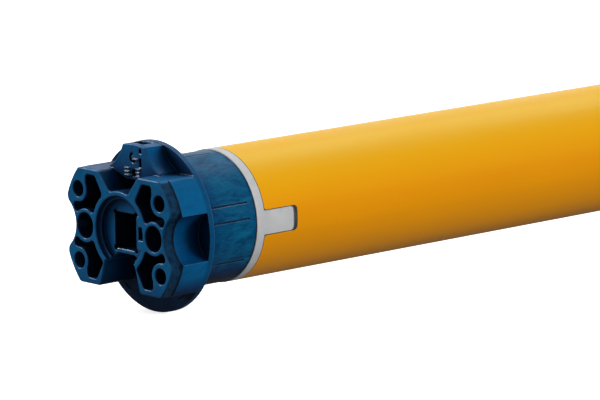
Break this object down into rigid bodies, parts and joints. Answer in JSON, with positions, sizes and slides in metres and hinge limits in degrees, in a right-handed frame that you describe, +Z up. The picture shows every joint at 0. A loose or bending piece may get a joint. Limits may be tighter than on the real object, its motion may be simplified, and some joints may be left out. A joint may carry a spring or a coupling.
{
  "type": "roller shutter motor",
  "caption": "Tubular motor for a roller shutter: star head with bracket seat and screw bosses, turning crown ring, steel tube and hexagon output shaft.",
  "frame": {"origin": "centre of the star head's front face, at the centre of its four screw holes", "axes": "+X along the motor's axis from the head to the output shaft, +Z up through the head's tower, +Y to the left when the head's face is seen upright"},
  "size_m": [0.514, 0.0574, 0.0574],
  "materials": {
    "head_plastic": "satin glass-filled moulding",
    "crown_plastic": "satin glass-filled moulding",
    "die_cast": "fine die-cast skin",
    "yellow_paint": "smooth powder coat",
    "black_plastic": "satin",
    "brass": "plain",
    "zinc_screw": "zinc plated",
    "white_plastic": "satin",
    "yellow_plastic": "satin",
    "setting_screw": "satin",
    "machined_steel": "turned and ground",
    "circuit_board": "solder resist",
    "capacitor_can": "gloss",
    "black_rubber": "matt",
    "bronze": "sintered",
    "lamination_steel": "stacked sheet edges",
    "copper_winding": "enamelled wire",
    "cast_aluminium": "cast",
    "friction_lining": "pressed lining",
    "gear_steel": "sintered steel"
  },
  "bodies": {
    "motor_body": {"brake_coil": "copper_winding", "brake_housing": "die_cast", "brake_spring": "machined_steel", "cable_socket": "black_plastic", "capacitor": "capacitor_can", "capacitor_sleeves": "black_rubber", "capacitor_tags": "brass", "contact_pins": "brass", "front_bell": "die_cast", "front_bush": "bronze", "head_screws": "zinc_screw", "limit_frame": "white_plastic", "motor_tube": "yellow_paint", "output_bush_inner": "bronze", "output_bush_outer": "bronze", "output_housing": "die_cast", "rear_bell": "die_cast", "rear_bush": "bronze", "ring_gear": "gear_steel", "star_head": "head_plastic", "stator_core": "lamination_steel", "stator_winding": "copper_winding", "terminal_block": "white_plastic", "terminal_board": "circuit_board", "torque_ring": "die_cast", "tube_screws": "zinc_screw"},
    "crown": {"crown_ring": "crown_plastic"},
    "limit_drive": {"limit_pinion": "yellow_plastic", "limit_spindle": "machined_steel"},
    "limit_nut_body": {"limit_nut": "white_plastic"},
    "up_screw": {"up_limit_screw": "setting_screw"},
    "up_carriage": {"up_switch_carriage": "white_plastic", "up_micro_switch": "black_plastic", "up_switch_lever": "machined_steel"},
    "down_screw": {"down_limit_screw": "setting_screw"},
    "down_carriage": {"down_switch_carriage": "white_plastic", "down_micro_switch": "black_plastic", "down_switch_lever": "machined_steel"},
    "rotor": {"rotor_shaft": "machined_steel", "rotor_core": "lamination_steel", "rotor_end_rings": "cast_aluminium", "brake_disc": "friction_lining", "sun_gear_1": "gear_steel"},
    "brake_plate": {"brake_armature": "machined_steel"},
    "carrier_1": {"stage_carrier_1": "gear_steel", "sun_gear_2": "gear_steel"},
    "carrier_2": {"stage_carrier_2": "gear_steel", "sun_gear_3": "gear_steel"},
    "output": {"output_carrier": "gear_steel", "output_shaft": "machined_steel", "retaining_clip": "machined_steel"},
    "planet_1_1": {"planet_gear_1_1": "gear_steel"},
    "planet_1_2": {"planet_gear_1_2": "gear_steel"},
    "planet_1_3": {"planet_gear_1_3": "gear_steel"},
    "planet_2_1": {"planet_gear_2_1": "gear_steel"},
    "planet_2_2": {"planet_gear_2_2": "gear_steel"},
    "planet_2_3": {"planet_gear_2_3": "gear_steel"},
    "planet_3_1": {"planet_gear_3_1": "gear_steel"},
    "planet_3_2": {"planet_gear_3_2": "gear_steel"},
    "planet_3_3": {"planet_gear_3_3": "gear_steel"}
  },
  "joints": [
    {"name": "crown_turn", "type": "hinge", "parent": "motor_body", "child": "crown", "pos_m": [0.03, 0, 0], "axis": [1, 0, 0], "range_deg": [-6930, 6930]},
    {"name": "limit_spindle_turn", "type": "hinge", "parent": "motor_body", "child": "limit_drive", "pos_m": [0.038, 0, -0.0147], "axis": [1, 0, 0], "range_deg": [-27720, 27720]},
    {"name": "limit_nut_travel", "type": "slide", "parent": "motor_body", "child": "limit_nut_body", "axis": [1, 0, 0], "range_m": [-0.0195, 0.0195]},
    {"name": "up_limit_setting", "type": "hinge", "parent": "motor_body", "child": "up_screw", "pos_m": [0.012, 0.0166, 0], "axis": [1, 0, 0], "range_deg": [0, 3600]},
    {"name": "up_switch_travel", "type": "slide", "parent": "motor_body", "child": "up_carriage", "axis": [1, 0, 0], "range_m": [0, 0.005]},
    {"name": "down_limit_setting", "type": "hinge", "parent": "motor_body", "child": "down_screw", "pos_m": [0.012, -0.0166, 0], "axis": [1, 0, 0], "range_deg": [0, 3600]},
    {"name": "down_switch_travel", "type": "slide", "parent": "motor_body", "child": "down_carriage", "axis": [1, 0, 0], "range_m": [-0.005, 0]},
    {"name": "rotor_spin", "type": "hinge", "parent": "motor_body", "child": "rotor", "pos_m": [0.3, 0, 0], "axis": [1, 0, 0], "continuous": true},
    {"name": "brake_release", "type": "slide", "parent": "motor_body", "child": "brake_plate", "axis": [1, 0, 0], "range_m": [-0.0005, 0]},
    {"name": "carrier_1_spin", "type": "hinge", "parent": "motor_body", "child": "carrier_1", "pos_m": [0.371, 0, 0], "axis": [1, 0, 0], "continuous": true},
    {"name": "planet_1_1_spin", "type": "hinge", "parent": "carrier_1", "child": "planet_1_1", "pos_m": [0.371, 0.01148, 0], "axis": [1, 0, 0], "continuous": true},
    {"name": "planet_1_2_spin", "type": "hinge", "parent": "carrier_1", "child": "planet_1_2", "pos_m": [0.371, -0.00574, 0.00994], "axis": [1, 0, 0], "continuous": true},
    {"name": "planet_1_3_spin", "type": "hinge", "parent": "carrier_1", "child": "planet_1_3", "pos_m": [0.371, -0.00574, -0.00994], "axis": [1, 0, 0], "continuous": true},
    {"name": "carrier_2_spin", "type": "hinge", "parent": "motor_body", "child": "carrier_2", "pos_m": [0.391, 0, 0], "axis": [1, 0, 0], "continuous": true},
    {"name": "planet_2_1_spin", "type": "hinge", "parent": "carrier_2", "child": "planet_2_1", "pos_m": [0.391, 0.01148, 0], "axis": [1, 0, 0], "continuous": true},
    {"name": "planet_2_2_spin", "type": "hinge", "parent": "carrier_2", "child": "planet_2_2", "pos_m": [0.391, -0.00574, 0.00994], "axis": [1, 0, 0], "continuous": true},
    {"name": "planet_2_3_spin", "type": "hinge", "parent": "carrier_2", "child": "planet_2_3", "pos_m": [0.391, -0.00574, -0.00994], "axis": [1, 0, 0], "continuous": true},
    {"name": "output_spin", "type": "hinge", "parent": "motor_body", "child": "output", "pos_m": [0.41425, 0, 0], "axis": [1, 0, 0], "continuous": true},
    {"name": "planet_3_1_spin", "type": "hinge", "parent": "output", "child": "planet_3_1", "pos_m": [0.41425, 0.01148, 0], "axis": [1, 0, 0], "continuous": true},
    {"name": "planet_3_2_spin", "type": "hinge", "parent": "output", "child": "planet_3_2", "pos_m": [0.41425, -0.00574, 0.00994], "axis": [1, 0, 0], "continuous": true},
    {"name": "planet_3_3_spin", "type": "hinge", "parent": "output", "child": "planet_3_3", "pos_m": [0.41425, -0.00574, -0.00994], "axis": [1, 0, 0], "continuous": true}
  ],
  "couplings": [
    {"joint": "limit_spindle_turn", "follows": "crown_turn", "ratio": 4},
    {"joint": "limit_nut_travel", "follows": "crown_turn", "m_per_rad": 0.00015915},
    {"joint": "up_switch_travel", "follows": "up_limit_setting", "m_per_rad": 0.000079577},
    {"joint": "down_switch_travel", "follows": "down_limit_setting", "m_per_rad": -0.000079577},
    {"joint": "carrier_1_spin", "follows": "rotor_spin", "ratio": 0.22222},
    {"joint": "planet_1_1_spin", "follows": "rotor_spin", "ratio": -0.62222},
    {"joint": "planet_1_2_spin", "follows": "rotor_spin", "ratio": -0.62222},
    {"joint": "planet_1_3_spin", "follows": "rotor_spin", "ratio": -0.62222},
    {"joint": "carrier_2_spin", "follows": "rotor_spin", "ratio": 0.049383},
    {"joint": "planet_2_1_spin", "follows": "rotor_spin", "ratio": -0.13827},
    {"joint": "planet_2_2_spin", "follows": "rotor_spin", "ratio": -0.13827},
    {"joint": "planet_2_3_spin", "follows": "rotor_spin", "ratio": -0.13827},
    {"joint": "output_spin", "follows": "rotor_spin", "ratio": 0.010974},
    {"joint": "planet_3_1_spin", "follows": "rotor_spin", "ratio": -0.030727},
    {"joint": "planet_3_2_spin", "follows": "rotor_spin", "ratio": -0.030727},
    {"joint": "planet_3_3_spin", "follows": "rotor_spin", "ratio": -0.030727}
  ]
}
